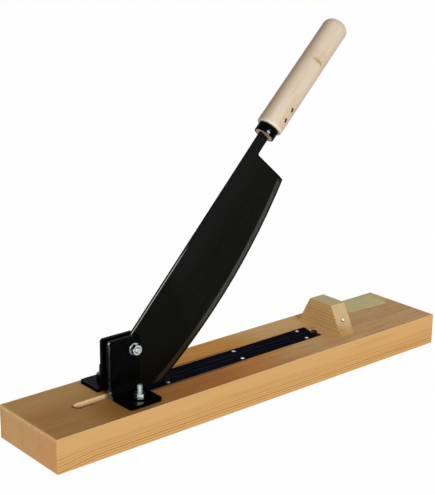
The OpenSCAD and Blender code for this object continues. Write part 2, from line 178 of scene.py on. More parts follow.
class Finish:
    """A material made of nodes, with short calls for them. Values are sockets or plain numbers."""

    def __init__(self, name):
        self.material = bpy.data.materials.new(name)
        self.material.use_nodes = True
        self.tree = self.material.node_tree
        self.shader = self.tree.nodes["Principled BSDF"]
        coordinates = self.node("ShaderNodeTexCoord")
        self.place = coordinates.outputs["Object"]
        self.facing = coordinates.outputs["Normal"]

    def node(self, kind, **settings):
        made = self.tree.nodes.new(kind)
        for key, value in settings.items():
            setattr(made, key, value)
        return made

    def put(self, socket, value):
        if isinstance(value, bpy.types.NodeSocket):
            self.tree.links.new(value, socket)
        else:
            socket.default_value = value

    def math(self, operation, *values, clamp=False):
        made = self.node("ShaderNodeMath", operation=operation, use_clamp=clamp)
        for socket, value in zip(made.inputs, values):
            self.put(socket, value)
        return made.outputs[0]

    def vector(self, operation, *values):
        made = self.node("ShaderNodeVectorMath", operation=operation)
        for socket, value in zip(made.inputs, values):
            self.put(socket, value)
        numbers = ("LENGTH", "DISTANCE", "DOT_PRODUCT")
        return made.outputs["Value" if operation in numbers else "Vector"]

    def turned(self, vector, axis, angle):
        made = self.node("ShaderNodeVectorRotate", rotation_type=axis)
        self.put(made.inputs["Vector"], vector)
        made.inputs["Angle"].default_value = angle
        return made.outputs[0]

    def split(self, vector):
        made = self.node("ShaderNodeSeparateXYZ")
        self.put(made.inputs[0], vector)
        return made.outputs

    def noise(self, vector, scale, detail=2.0, roughness=0.5):
        made = self.node("ShaderNodeTexNoise")
        self.put(made.inputs["Vector"], vector)
        made.inputs["Scale"].default_value = scale
        made.inputs["Detail"].default_value = detail
        made.inputs["Roughness"].default_value = roughness
        return made.outputs["Fac"]

    def within(self, value, low, high):
        """0 at low, 1 at high, smooth between them and flat outside. Low may be the larger."""
        made = self.node("ShaderNodeMapRange", interpolation_type="SMOOTHSTEP")
        self.put(made.inputs["Value"], value)
        made.inputs["From Min"].default_value = low
        made.inputs["From Max"].default_value = high
        return made.outputs[0]

    def scaled(self, value, low, high):
        """A 0 to 1 value spread from low to high."""
        made = self.node("ShaderNodeMapRange")
        self.put(made.inputs["Value"], value)
        made.inputs["To Min"].default_value = low
        made.inputs["To Max"].default_value = high
        return made.outputs[0]

    def ramp(self, factor, *stops):
        made = self.node("ShaderNodeValToRGB")
        self.put(made.inputs[0], factor)
        points = made.color_ramp.elements
        while len(points) < len(stops):
            points.new(0.5)
        for point, (place, level) in zip(points, stops):
            point.position = place
            point.color = (level, level, level, 1)
        return made.outputs[0]

    def combine(self, level):
        """Grey of the given level."""
        made = self.node("ShaderNodeCombineColor")
        for socket in made.inputs:
            self.put(socket, level)
        return made.outputs[0]

    def mix(self, factor, first, second):
        made = self.node("ShaderNodeMix", data_type="RGBA")
        self.put(made.inputs[0], factor)
        self.put(made.inputs[6], first if isinstance(first, bpy.types.NodeSocket) else (*first, 1))
        self.put(made.inputs[7], second if isinstance(second, bpy.types.NodeSocket) else (*second, 1))
        return made.outputs[2]

    def product(self, *values):
        total = values[0]
        for value in values[1:]:
            total = self.math("MULTIPLY", total, value)
        return total

    def raised(self, height, distance):
        """Bump whose height of 1 stands the given number of metres proud."""
        made = self.node("ShaderNodeBump")
        made.inputs["Distance"].default_value = distance
        self.put(made.inputs["Height"], height)
        self.put(self.shader.inputs["Normal"], made.outputs[0])

    def set(self, **values):
        names = {"colour": "Base Color", "specular": "Specular IOR Level"}
        for key, value in values.items():
            if isinstance(value, tuple):
                value = (*value, 1)
            self.put(self.shader.inputs[names.get(key, key.capitalize())], value)


def rings(finish, place, heart, gap, sway, reach):
    """Growth rings about a heart line along the grain (X): radius, place within a ring, its strength."""
    slow = finish.noise(finish.vector("MULTIPLY", place, (reach, reach * 6, reach * 6)), 1.0, 1.0)
    across = finish.vector("MULTIPLY", finish.vector("SUBTRACT", place, heart), (0, 1, 1))
    bent = finish.math("MULTIPLY_ADD", slow, sway, finish.vector("LENGTH", across))
    count = finish.math("DIVIDE", bent, gap)
    part = finish.math("FRACT", count)
    own = finish.node("ShaderNodeTexWhiteNoise", noise_dimensions="1D")
    finish.put(own.inputs["W"], finish.math("FLOOR", count))
    return bent, part, own.outputs["Value"]


def fibres(finish, place, scale, stretch):
    """Fine streaks drawn out along the grain (X)."""
    return finish.noise(finish.vector("MULTIPLY", place, (1 / stretch, 1, 1)), scale, 3.0, 0.6)


def board_top(f, x, y, streak):
    """The top's worn colour: brown at the pivot's end, orange along the bars and pale beyond the block, with
    painted shade by the front foot and along the pocket's and slot's rims.
    """
    cloud = f.noise(f.vector("MULTIPLY", f.place, (0.45, 1, 1)), 26, 3.0, 0.55)
    wide = f.noise(f.vector("MULTIPLY", f.place, (0.5, 1, 1)), 11, 2.0)
    swayed = f.math("MULTIPLY_ADD", f.math("SUBTRACT", wide, 0.5), 0.16, x)
    far = f.within(y, -0.005, 0.045)
    colour = f.mix(f.within(swayed, -0.21, -0.11), (0.488, 0.252, 0.080), (0.67, 0.277, 0.068))
    pale = f.math("MAXIMUM", f.within(swayed, 0.00, 0.13), f.math("MULTIPLY", far, f.within(x, 0.01, 0.09)))
    colour = f.mix(f.math("MULTIPLY", pale, 0.96), colour, (0.755, 0.472, 0.222))
    bands = fibres(f, f.place, 150, 14)
    clear = f.scaled(f.within(x, -0.22, -0.10), 0.45, 1.0)
    colour = f.mix(f.product(f.within(bands, 0.50, 0.72), clear, 0.45), colour, (0.42, 0.20, 0.062))
    colour = f.mix(f.product(f.within(bands, 0.47, 0.28), clear, 0.35), colour, (0.80, 0.52, 0.25))
    colour = f.mix(f.math("MULTIPLY", f.within(cloud, 0.50, 0.72), 0.35), colour, (0.64, 0.27, 0.072))
    colour = f.mix(f.math("MULTIPLY", f.within(streak, 0.45, 0.75), 0.30), colour, (0.40, 0.205, 0.075))
    bright = f.mix(f.within(x, -0.17, -0.08), (1.0, 0.66, 0.30), (0.98, 0.50, 0.08))
    bright = f.mix(f.within(x, 0.01, 0.09), bright, (1.0, 0.66, 0.26))
    lighter = f.scaled(f.within(x, -0.26, -0.16), 0.23, 0.32)
    colour = f.mix(f.math("MULTIPLY", far, lighter), colour, bright)
    # Painted shadow on the top beside the front bracket's foot.
    foot_shadow_place = (foot_low.x + 0.004, foot_low.y + 0.012, board_high.z)
    painted_foot_shadow = f.within(f.vector("DISTANCE", f.place, foot_shadow_place), 0.062, 0.012)
    colour = f.mix(f.math("MULTIPLY", painted_foot_shadow, 0.62), colour, (0.26, 0.095, 0.018))
    ruddy_place = (foot_high.x + 0.070, foot_low.y + 0.010, board_high.z)
    ruddy = f.within(f.vector("DISTANCE", f.place, ruddy_place), 0.105, 0.030)
    colour = f.mix(f.math("MULTIPLY", ruddy, 0.36), colour, (0.37, 0.095, 0.004))
    specks = f.product(f.within(f.noise(f.place, 240, 1.0), 0.70, 0.76), f.within(x, 0.18, 0.24))
    colour = f.mix(f.math("MULTIPLY", specks, 0.8), colour, (0.22, 0.13, 0.07))
    worn = f.math("MULTIPLY_ADD", f.math("SUBTRACT", cloud, 0.5), 0.010, f.math("SUBTRACT", x, board_low.x))
    worn_parts = f.scaled(f.within(cloud, 0.42, 0.58), 0.20, 0.65)
    worn = f.math("MULTIPLY", f.within(worn, 3.2 * MM, 1.2 * MM), worn_parts)
    colour = f.mix(worn, colour, (0.88, 0.56, 0.27))
    # Painted shade along the pocket's rims.
    colour = f.mix(f.math("MULTIPLY", pocket_rim_shade(f, x, y), 0.85), colour, (0.13, 0.075, 0.036))
    # Painted shade along the slot's near rim.
    return f.mix(f.math("MULTIPLY", slot_rim_shade(f, x, y), 0.90), colour, (0.10, 0.042, 0.010))


def slot_rim_shade(f, x, y):
    """1 on a thin line along the near side of the slot's uncovered left end: painted shade from inside the slot.
    """
    past_end = f.math("MINIMUM", f.math("SUBTRACT", x, SLOT_LEFT), 0.0)
    off_middle = f.math("SUBTRACT", y, pivot.y)
    outward = f.math("SQRT", f.math("ADD", f.math("POWER", past_end, 2.0), f.math("POWER", off_middle, 2.0)))
    at_end = f.math("MULTIPLY", f.within(past_end, 0.0, -0.004), 1 * MM)
    line = f.within(f.math("SUBTRACT", outward, at_end), SLOT_HALF + 3.8 * MM, SLOT_HALF + 2.4 * MM)
    return f.product(line, f.within(off_middle, 0.005, -0.001), f.within(x, -0.232, -0.250))


def pocket_rim_shade(f, x, y):
    """1 on the painted shade along the pocket's rims beside the bars, wider on the near side towards the pivot."""
    outward = f.math("SUBTRACT", f.math("ABSOLUTE", f.math("SUBTRACT", y, pivot.y)), POCKET_HALF)
    near_line = f.math("MULTIPLY", f.within(outward, 3.6 * MM, 1.2 * MM), f.within(y, 0.0, -0.010))
    far_line = f.math("MULTIPLY", f.within(outward, 2.0 * MM, 0.6 * MM), f.within(y, 0.0, 0.010))
    faded = f.scaled(f.within(x, -0.04, 0.03), 1.0, 0.12)
    return f.product(f.math("MAXIMUM", near_line, far_line), faded, f.within(x, -0.215, -0.195))


def board_end(f, y, z, part):
    """End grain: arcs of growth rings, pinker towards the front corner."""
    ring = f.ramp(part, (0.0, 0.4), (0.35, 0.0), (0.75, 0.9), (1.0, 0.4))
    colour = f.mix(f.within(y, 0.045, -0.045), (0.70, 0.425, 0.182), (0.755, 0.385, 0.160))
    shown = f.scaled(f.within(y, 0.036, 0.064), 0.10, 0.60)
    colour = f.mix(f.math("MULTIPLY", ring, shown), colour, (0.34, 0.185, 0.078))
    blotch = f.noise(f.vector("MULTIPLY", f.place, (1, 0.9, 0.6)), 75, 4.0, 0.6)
    colour = f.mix(f.math("MULTIPLY", f.within(blotch, 0.48, 0.70), 0.7), colour, (0.80, 0.41, 0.20))
    colour = f.mix(f.math("MULTIPLY", f.within(blotch, 0.46, 0.30), 0.55), colour, (0.58, 0.355, 0.140))
    light_top = f.math("MULTIPLY", f.within(z, board_high.z - 9 * MM, board_high.z), 0.5)
    colour = f.mix(light_top, colour, (0.80, 0.52, 0.26))
    ragged = f.math("MULTIPLY_ADD", f.math("SUBTRACT", blotch, 0.5), 0.012, z)
    torn_top = f.math("MULTIPLY", f.within(ragged, board_high.z - 4 * MM, board_high.z - 1 * MM), 0.7)
    return f.mix(torn_top, colour, (0.93, 0.58, 0.28))


def board_inside(f, x):
    """Raw milled wood in the slot, with painted shade on the pocket's walls beside the bars and in its right end,
    and a painted patch of light at that end.
    """
    milled = f.noise(f.vector("MULTIPLY", f.place, (1, 1, 0.25)), 420, 3.0)
    colour = f.mix(milled, (0.90, 0.595, 0.32), (1.0, 0.81, 0.49))
    # Painted shade on the pocket's walls beside the bars, darkest at the left.
    painted_wall_shade = f.mix(f.within(x, -0.03, 0.05), (0.030, 0.016, 0.007), (0.15, 0.092, 0.047))
    colour = f.mix(f.within(x, -0.215, -0.195), colour, painted_wall_shade)
    # Painted shade in the pocket's right end.
    colour = f.mix(f.within(x, POCKET_END - 0.014, POCKET_END - 0.004), colour, (0.085, 0.045, 0.016))
    # Painted patch of light on the wall at the pocket's right end.
    lit_patch_place = (POCKET_END, pivot.y + SLOT_HALF + 0.002, board_high.z - 0.002)
    painted_lit_patch = f.within(f.vector("DISTANCE", f.place, lit_patch_place), 0.0042, 0.0026)
    return f.mix(painted_lit_patch, colour, (1.0, 0.93, 0.76))


def board_wood():
    """Planed pine with its rings along the board, pale in the milled slot and darker on the worn top."""
    f = Finish("board_wood")
    x, y, z = f.split(f.place)
    nx, ny, nz = f.split(f.facing)
    heart = (0, 0.005, -0.100)
    dip = f.product(f.within(x, -0.275, -0.345), f.within(z, 0.034, 0.006), 0.007)
    bowed = f.node("ShaderNodeCombineXYZ")
    for socket, value in zip(bowed.inputs, (x, y, f.math("ADD", z, dip))):
        f.put(socket, value)
    radius, part, own = rings(f, bowed.outputs[0], heart, 0.0030, 0.0030, 4.0)
    late = f.ramp(part, (0.0, 0.35), (0.14, 0.0), (0.42, 0.0), (0.70, 1.0), (0.90, 1.0), (1.0, 0.35))
    shown = f.scaled(f.within(radius, 0.1480, 0.1420), 0.14, 1.0)
    line = f.product(late, shown, f.scaled(own, 0.30, 1.0))
    streak = fibres(f, f.place, 900, 60)
    broad = fibres(f, f.place, 120, 30)

    face = f.mix(streak, (0.63, 0.37, 0.137), (0.76, 0.455, 0.175))
    face = f.mix(f.math("MULTIPLY", f.within(broad, 0.5, 0.75), 0.45), face, (0.60, 0.305, 0.095))
    face = f.mix(f.math("MULTIPLY", line, 0.95), face, (0.44, 0.185, 0.042))
    colour = f.mix(f.within(nz, 0.6, 0.8), face, board_top(f, x, y, streak))
    colour = f.mix(f.within(f.math("ABSOLUTE", nx), 0.6, 0.8), colour, board_end(f, y, z, part))
    off_middle = f.math("ABSOLUTE", f.math("SUBTRACT", y, pivot.y))
    inside = f.product(
        f.within(z, board_high.z - 0.2 * MM, board_high.z - 0.6 * MM),
        f.within(off_middle, POCKET_HALF + 0.5 * MM, POCKET_HALF - 0.5 * MM),
        f.within(f.math("ABSOLUTE", x), board_high.x - 40 * MM, board_high.x - 42 * MM),
    )
    colour = f.mix(inside, colour, board_inside(f, x))
    arris = f.math("MULTIPLY", f.math("ABSOLUTE", f.math("MULTIPLY", ny, nz)), 2.0, clamp=True)
    colour = f.mix(f.math("MULTIPLY", arris, 0.7), colour, (0.88, 0.62, 0.32))
    f.set(colour=colour, roughness=f.scaled(streak, 0.42, 0.62), specular=0.03)
    f.raised(f.math("MULTIPLY_ADD", line, -0.6, streak), 0.00012)
    return f.material


def block_wood():
    """Sawn softwood with its grain along Y and a rough paler end, torn at its lower corner."""
    f = Finish("block_wood")
    place = f.turned(f.place, "Z_AXIS", math.radians(-90))
    _, ny, nz = f.split(f.facing)
    z = f.split(f.place)[2]
    heart = (0, -block_low.x - 0.06, board_high.z - 0.045)
    _, part, own = rings(f, place, heart, 0.0037, 0.004, 7.0)
    late = f.ramp(part, (0.0, 0.3), (0.2, 0.0), (0.50, 0.0), (0.78, 1.0), (0.90, 0.9), (1.0, 0.3))
    streak = fibres(f, place, 800, 30)
    face = f.mix(streak, (0.66, 0.41, 0.15), (0.84, 0.55, 0.225))
    face = f.mix(f.product(late, f.scaled(own, 0.15, 0.85), 0.8), face, (0.42, 0.21, 0.062))
    saw = f.noise(f.vector("MULTIPLY", f.place, (1, 0.2, 0.2)), 700, 2.0)
    end = f.mix(saw, (0.58, 0.39, 0.185), (0.82, 0.605, 0.33))
    end = f.mix(f.product(late, 0.10), end, (0.48, 0.29, 0.12))
    low = f.math("MULTIPLY", f.within(z, block_low.z + 0.020, block_low.z + 0.002), 0.75)
    end = f.mix(low, end, (0.52, 0.29, 0.090))
    torn_place = (block_low.x, block_low.y + 0.004, block_low.z + 0.006)
    torn = f.within(f.vector("DISTANCE", f.place, torn_place), 0.020, 0.005)
    splinters = f.noise(f.vector("MULTIPLY", f.place, (3, 1, 0.6)), 300, 2.0)
    torn = f.math("MULTIPLY", torn, f.within(splinters, 0.42, 0.62))
    end = f.mix(f.math("MULTIPLY", torn, 0.8), end, (0.30, 0.165, 0.055))
    colour = f.mix(f.within(f.math("ABSOLUTE", ny), 0.6, 0.8), face, end)
    top = f.mix(streak, (0.62, 0.46, 0.245), (0.86, 0.68, 0.41))
    colour = f.mix(f.within(nz, 0.8, 0.9), colour, top)
    f.set(colour=colour, roughness=f.scaled(streak, 0.55, 0.75), specular=0.04)
    f.raised(f.math("ADD", streak, saw), 0.0002)
    return f.material


def handle_wood():
    """Turned pale wood: fine pores along it, a thin branch mark across it, painted shade round the pins, and
    painted light and shade on the grip.
    """
    f = Finish("handle_wood")
    place = f.turned(f.vector("SUBTRACT", f.place, handle_rim), "Y_AXIS", HANDLE_RISE)
    along, across, over = f.split(place)
    streak = fibres(f, place, 700, 25)
    slow = fibres(f, place, 80, 9)
    flecks = f.noise(f.vector("MULTIPLY", place, (0.25, 1, 1)), 1500, 1.0)
    colour = f.mix(streak, (0.71, 0.578, 0.43), (0.86, 0.725, 0.562))
    colour = f.mix(f.math("MULTIPLY", f.within(slow, 0.48, 0.75), 0.5), colour, (0.66, 0.49, 0.335))
    colour = f.mix(f.math("MULTIPLY", f.within(flecks, 0.60, 0.72), 0.30), colour, (0.52, 0.37, 0.24))
    bend = f.math("MULTIPLY_ADD", f.math("SUBTRACT", f.noise(place, 160, 2.0), 0.5), 0.004, along)
    band = f.within(f.math("ABSOLUTE", f.math("SUBTRACT", bend, BRANCH_BAND_AT)), 0.014, 0.005)
    colour = f.mix(f.math("MULTIPLY", band, 0.20), colour, (0.60, 0.36, 0.15))
    hooked = f.math("MULTIPLY_ADD", f.within(over, 0.0040, -0.0060), 0.005, bend)
    off_mark = f.math("ABSOLUTE", f.math("SUBTRACT", hooked, BRANCH_MARK_AT))
    mark = f.product(
        f.within(off_mark, 0.0025, 0.0008), f.within(over, -0.0028, 0.001), f.within(over, 0.0145, 0.010),
        f.within(across, 0.0, -0.004),
    )
    colour = f.mix(f.math("MULTIPLY", mark, 0.75), colour, (0.38, 0.25, 0.10))
    # Painted shade round each sunk pin, fainter on one side.
    for pin in PIN_PLACES:
        hole_place = pivot + (pin + 0.0007) * lever_along
        flat = f.vector("MULTIPLY", f.vector("SUBTRACT", f.place, hole_place), (1, 0, 1))
        rim = f.within(f.vector("LENGTH", flat), PIN_RADIUS + 0.0014, PIN_RADIUS + 0.0004)
        filled = f.within(f.vector("DOT_PRODUCT", flat, lever_up), 0.0005, 0.0026)
        rim = f.math("MULTIPLY", rim, f.scaled(filled, 0.97, 0.25))
        colour = f.mix(rim, colour, (0.004, 0.003, 0.002))
    grip_back = (0.74 * lever_up + Vector((0, 0.67, 0))).normalized()
    towards_back = f.vector("DOT_PRODUCT", f.facing, grip_back)
    sideways = f.math("ABSOLUTE", towards_back)
    # Painted light on the middle of the grip's lower part.
    painted_lit_middle = f.product(f.within(along, 0.070, 0.012), f.within(sideways, 0.50, 0.15), 0.25)
    colour = f.mix(painted_lit_middle, colour, (0.99, 0.85, 0.675))
    # Painted warm shade on the sides of the grip's lower part.
    painted_warm_shade = f.product(f.within(along, 0.065, 0.035), f.within(sideways, 0.25, 0.55), 0.22)
    colour = f.mix(painted_warm_shade, colour, (0.69, 0.45, 0.18))
    # Painted highlight along the grip's lower rim.
    edge = f.math("MULTIPLY", f.within(along, 0.006, 0.002), 0.5)
    colour = f.mix(edge, colour, (1.0, 0.93, 0.82))
    # Painted shade on the grip's back, fainter on its front.
    painted_grip_shade = f.math("MULTIPLY", f.math("POWER", f.math("MAXIMUM", towards_back, 0.0), 2.4), 0.96)
    painted_front_shade = f.math("POWER", f.math("MAXIMUM", f.math("MULTIPLY", towards_back, -1.0), 0.0), 4.0)
    painted_grip_shade = f.math("MAXIMUM", painted_grip_shade, f.math("MULTIPLY", painted_front_shade, 0.30))
    colour = f.mix(painted_grip_shade, colour, (0.31, 0.215, 0.112))
    end = f.within(f.math("ABSOLUTE", f.vector("DOT_PRODUCT", f.facing, handle_along)), 0.85, 0.97)
    lower = f.math("MULTIPLY", end, f.within(along, 0.001, -0.001))
    colour = f.mix(lower, colour, f.mix(streak, (0.50, 0.32, 0.21), (0.70, 0.50, 0.36)))
    f.set(colour=colour, roughness=f.scaled(streak, 0.32, 0.5), specular=0.15)
    f.raised(f.math("ADD", streak, f.math("MULTIPLY", flecks, 0.4)), 0.00006)
    return f.material


def paint_flow(finish):
    """The slight waviness of thick brushed paint."""
    return finish.noise(finish.place, 55, 2.0)


def black_paint():
    """Thick gloss black, dusty in places, with painted highlights on the front upright's left side, at its corners
    and on the ferrule's rim, and a grey patch low on the uprights' left ends.
    """
    f = Finish("black_paint")
    dust = f.noise(f.place, 160, 4.0, 0.6)
    colour = f.mix(f.within(dust, 0.50, 0.85), (0.0016, 0.0017, 0.0016), (0.0060, 0.0060, 0.0052))
    x, y, z = f.split(f.place)
    nx, ny, _ = f.split(f.facing)
    face_y = foot_high.y - BAR_THICK
    # Painted highlight down the front upright's left side, brighter towards the top.
    painted_edge_light = f.product(
        f.within(x, foot_low.x + 3.4 * MM, foot_low.x + 2.2 * MM), f.within(ny, -0.25, -0.6),
        f.within(f.math("ABSOLUTE", f.math("SUBTRACT", y, face_y)), 3.0 * MM, 1.5 * MM),
    )
    grey = f.scaled(f.within(z, foot_high.z - 0.022, foot_high.z - 0.001), 0.022, 0.100)
    colour = f.mix(f.math("MULTIPLY", painted_edge_light, f.within(dust, 0.30, 0.50)), colour, f.combine(grey))
    # Painted highlights at the front upright's top corner and at its bend.
    corner = Vector((foot_low.x + 0.6 * MM, face_y, foot_high.z - 0.8 * MM))
    bend = Vector((foot_low.x + 0.6 * MM, face_y - 2.0 * MM, board_high.z + 0.0082))
    painted_corner_glints = f.math(
        "MAXIMUM",
        f.within(f.vector("DISTANCE", f.place, corner), 2.8 * MM, 1.2 * MM),
        f.math("MULTIPLY", f.within(f.vector("DISTANCE", f.place, bend), 1.9 * MM, 0.6 * MM), 0.7),
    )
    side = f.product(
        f.within(nx, -0.7, -0.9), f.within(z, board_high.z + 14 * MM, board_high.z + 9 * MM),
        f.within(y, face_y - 11 * MM, face_y - 5 * MM), f.within(y, face_y + 4 * MM, face_y + 1 * MM),
    )
    colour = f.mix(f.math("MULTIPLY", side, 0.5), colour, (0.26, 0.25, 0.23))
    # Painted reflection on the ferrule's lower rim, with a ragged outline.
    from_glint = f.vector("DISTANCE", f.place, ferrule_glint)
    ragged = f.math("MULTIPLY_ADD", f.noise(f.place, 420, 3.0, 0.7), 9 * MM, from_glint)
    painted_ferrule_glint = f.within(ragged, 7.4 * MM, 6.0 * MM)
    colour = f.mix(f.math("MAXIMUM", painted_corner_glints, painted_ferrule_glint), colour, (0.55, 0.56, 0.55))
    f.set(colour=colour, roughness=f.scaled(dust, 0.14, 0.30), specular=0.012)
    f.raised(paint_flow(f), 0.0005)
    return f.material


def blade_paint():
    """Black blade: brushed paint, a painted sheen towards the spine, painted shade and brown reflection low down,
    a ground edge, and pale grey along the lower spine.
    """
    f = Finish("blade_paint")
    place = f.turned(f.place, "Y_AXIS", SPINE_RISE)
    dust = f.noise(f.vector("MULTIPLY", place, (0.25, 1, 1)), 110, 4.0, 0.6)
    from_pivot = f.vector("SUBTRACT", f.place, pivot)
    along = f.vector("DOT_PRODUCT", from_pivot, lever_along)
    over = f.vector("DOT_PRODUCT", from_pivot, lever_up)
    colour = f.mix(f.within(dust, 0.30, 0.90), (0.0048, 0.0049, 0.0042), (0.0078, 0.0082, 0.0070))
    # Painted sheen towards the spine.
    colour = f.mix(f.math("MULTIPLY", f.within(over, -0.040, 0.008), 0.75), colour, (0.0094, 0.0106, 0.0094))
    # Darker and browner low down: painted shade with the board's brown reflection.
    painted_low_shade = f.math("MULTIPLY_ADD", over, -0.42, f.math("MULTIPLY_ADD", dust, 0.03, along))
    painted_low_shade = f.within(painted_low_shade, 0.127, 0.104)
    colour = f.mix(f.math("MULTIPLY", painted_low_shade, 0.78), colour, (0.0041, 0.0041, 0.0018))
    flat = f.vector("MULTIPLY", f.place, (1, 0, 1))
    centre = Vector((edge_centre.x, 0, edge_centre.z))
    from_edge = f.math("SUBTRACT", EDGE_RADIUS, f.vector("DISTANCE", flat, centre))
    ground = f.product(
        f.within(from_edge, BEVEL_WIDTH + 2.6 * MM, BEVEL_WIDTH + 0.9 * MM),
        f.within(along, BLADE_LENGTH - 0.001, BLADE_LENGTH - 0.007),
    )
    scratch = f.noise(f.vector("MULTIPLY", place, (60, 1, 1)), 90, 2.0)
    patchy = f.noise(f.place, 38, 3.0)
    steel = f.mix(scratch, (0.038, 0.040, 0.030), (0.084, 0.086, 0.068))
    steel = f.mix(f.within(patchy, 0.50, 0.74), steel, (0.022, 0.022, 0.016))
    # Painted brown reflection of the board low on the ground steel.
    painted_brown_shade = f.math("MULTIPLY", f.within(along, 0.100, 0.055), 0.85)
    steel = f.mix(painted_brown_shade, steel, (0.030, 0.0185, 0.0065))
    steel = f.mix(f.within(from_edge, 0.0050, 0.0028), steel, (0.006, 0.006, 0.005))
    colour = f.mix(ground, colour, steel)
    nz = f.split(f.facing)[2]
    y = f.split(f.place)[1]
    spine = f.product(
        f.within(nz, 0.45, 0.62), f.within(along, 0.155, 0.125),
        f.within(y, pivot.y - 0.2 * MM, pivot.y - 1.0 * MM),
    )
    colour = f.mix(f.product(spine, f.scaled(scratch, 0.5, 1.0)), colour, (0.66, 0.66, 0.65))
    f.set(colour=colour, roughness=f.scaled(dust, 0.22, 0.4), specular=0.020)
    f.raised(f.math("MULTIPLY_ADD", scratch, f.math("MULTIPLY", ground, 0.2), paint_flow(f)), 0.0005)
    return f.material


def blued_steel():
    """Drawn flat bar, oil-blued, with fine draw lines, painted brown shade at its outer side and painted light
    along the slit.
    """
    f = Finish("blued_steel")
    lines = f.noise(f.vector("MULTIPLY", f.place, (0.02, 1, 1)), 700, 3.0)
    cloud = f.noise(f.vector("MULTIPLY", f.place, (0.4, 1, 1)), 70, 3.0)
    colour = f.mix(f.within(cloud, 0.35, 0.7), (0.0020, 0.0028, 0.0056), (0.0044, 0.0068, 0.0170))
    colour = f.mix(f.math("MULTIPLY", f.within(lines, 0.56, 0.76), 0.6), colour, (0.010, 0.014, 0.029))
    x, y, _ = f.split(f.place)
    colour = f.mix(f.math("MULTIPLY", f.within(x, -0.02, 0.08), 0.5), colour, (0.0036, 0.0034, 0.0060))
    off_middle = f.math("ABSOLUTE", f.math("SUBTRACT", y, pivot.y))
    # Painted shade along the bars' outer sides beside the pocket's walls.
    painted_brown_shade = f.math("MULTIPLY", f.within(off_middle, 0.0115, 0.0160), 0.95)
    colour = f.mix(painted_brown_shade, colour, (0.0055, 0.0024, 0.0009))
    # Painted light along the slit: the bars' inner sides lighter, more so on top.
    top = f.within(f.split(f.facing)[2], 0.3, 0.8)
    steel = f.mix(top, (0.0065, 0.0098, 0.0150), (0.0120, 0.0145, 0.0195))
    painted_edge_light = f.product(f.within(off_middle, 0.0066, 0.0042), f.scaled(f.within(cloud, 0.30, 0.60), 0.45, 1.0))
    colour = f.mix(painted_edge_light, colour, steel)
    f.set(colour=colour, roughness=f.scaled(lines, 0.35, 0.55), specular=0.0015)
    f.raised(lines, 0.00006)
    return f.material


def zinc():
    """Zinc plate with painted light and shade: bright on the sides towards the camera and on top, darker round
    them, and painted shade at the back.

    The nails are worn bright, with brown rims.
    """
    f = Finish("zinc")
    cloud = f.noise(f.place, 420, 3.0, 0.6)
    x, y, z = f.split(f.place)
    nz = f.split(f.facing)[2]
    # Painted light and shade: faces towards the camera and upwards bright, the sides dark.
    bright_side = (-0.65, -0.76, 0)
    lit = f.within(f.math("ABSOLUTE", f.vector("DOT_PRODUCT", f.facing, bright_side)), 0.45, 0.98)
    lit = f.math("MAXIMUM", lit, f.within(nz, 0.80, 0.97))
    colour = f.mix(lit, (0.085, 0.092, 0.092), (0.80, 0.83, 0.84))
    colour = f.mix(f.math("MULTIPLY", f.within(cloud, 0.40, 0.70), 0.5), colour, (0.26, 0.275, 0.28))
    # Painted shade on the rear foot's bolts and nuts behind the rear upright.
    painted_rear_shade = f.product(
        f.within(y, foot_high.y + 6 * MM, foot_high.y + 14 * MM),
        f.within(x, foot_high.x + 20 * MM, foot_high.x + 5 * MM),
    )
    colour = f.mix(f.math("MULTIPLY", painted_rear_shade, 0.9), colour, (0.020, 0.021, 0.020))
    nails = f.product(
        f.within(x, block_low.x, block_low.x + 5 * MM), f.within(z, board_high.z, board_high.z + 3 * MM),
    )
    from_nails = [f.vector("DISTANCE", f.place, nail) for nail in (front_nail, rear_nail)]
    from_middle = f.math("MINIMUM", *from_nails)
    worn = f.mix(f.within(from_middle, 2.9 * MM, 2.1 * MM), (0.34, 0.24, 0.13), (1.0, 0.90, 0.72))
    colour = f.mix(f.math("MULTIPLY", nails, 0.9), colour, worn)
    f.set(colour=colour, metallic=1.0, roughness=f.scaled(cloud, 0.16, 0.30))
    f.raised(cloud, 0.00004)
    return f.material


def pin_steel():
    """Pin ends set below the wood: coloured dark as painted shade, with a painted highlight on each towards the
    lower left.
    """
    f = Finish("pin_steel")
    cloud = f.noise(f.place, 900, 3.0, 0.6)
    colour = f.mix(cloud, (0.004, 0.003, 0.0025), (0.014, 0.012, 0.009))
    for pin in PIN_PLACES:
        # Painted highlight on each pin end.
        spot_place = pivot + (pin - 0.0007) * lever_along + 0.0014 * lever_up
        flat = f.vector("MULTIPLY", f.vector("SUBTRACT", f.place, spot_place), (1, 0, 1))
        spot = f.within(f.vector("LENGTH", flat), 0.0023, 0.0015)
        colour = f.mix(spot, colour, (0.80, 0.72, 0.60))
    f.set(colour=colour, metallic=0.3, roughness=f.scaled(cloud, 0.4, 0.65), specular=0.05)
    f.raised(cloud, 0.0001)
    return f.material


def label_paper():
    """Plain varnished paper, yellowed."""
    f = Finish("label_paper")
    cloud = f.noise(f.place, 45, 3.0)
    fine = f.noise(f.place, 1600, 2.0)
    colour = f.mix(cloud, (0.66, 0.53, 0.25), (0.84, 0.70, 0.37))
    colour = f.mix(f.math("MULTIPLY", fine, 0.3), colour, (0.56, 0.45, 0.21))
    f.set(colour=colour, roughness=f.scaled(fine, 0.35, 0.5), specular=0.06)
    f.raised(fine, 0.00004)
    return f.material


LOOKS = {
    "board_wood": board_wood(), "block_wood": block_wood(), "handle_wood": handle_wood(),
    "black_paint": black_paint(), "blade_paint": blade_paint(), "blued_steel": blued_steel(),
    "zinc": zinc(), "pin_steel": pin_steel(),
}


def dress():
    """Gives each node of the frame its slot's finish."""
    for part in frame["record"]["subparts"]:
        mesh = nodes[part["node"]].data
        mesh.materials.clear()
        mesh.materials.append(LOOKS[part["material_slot"]])


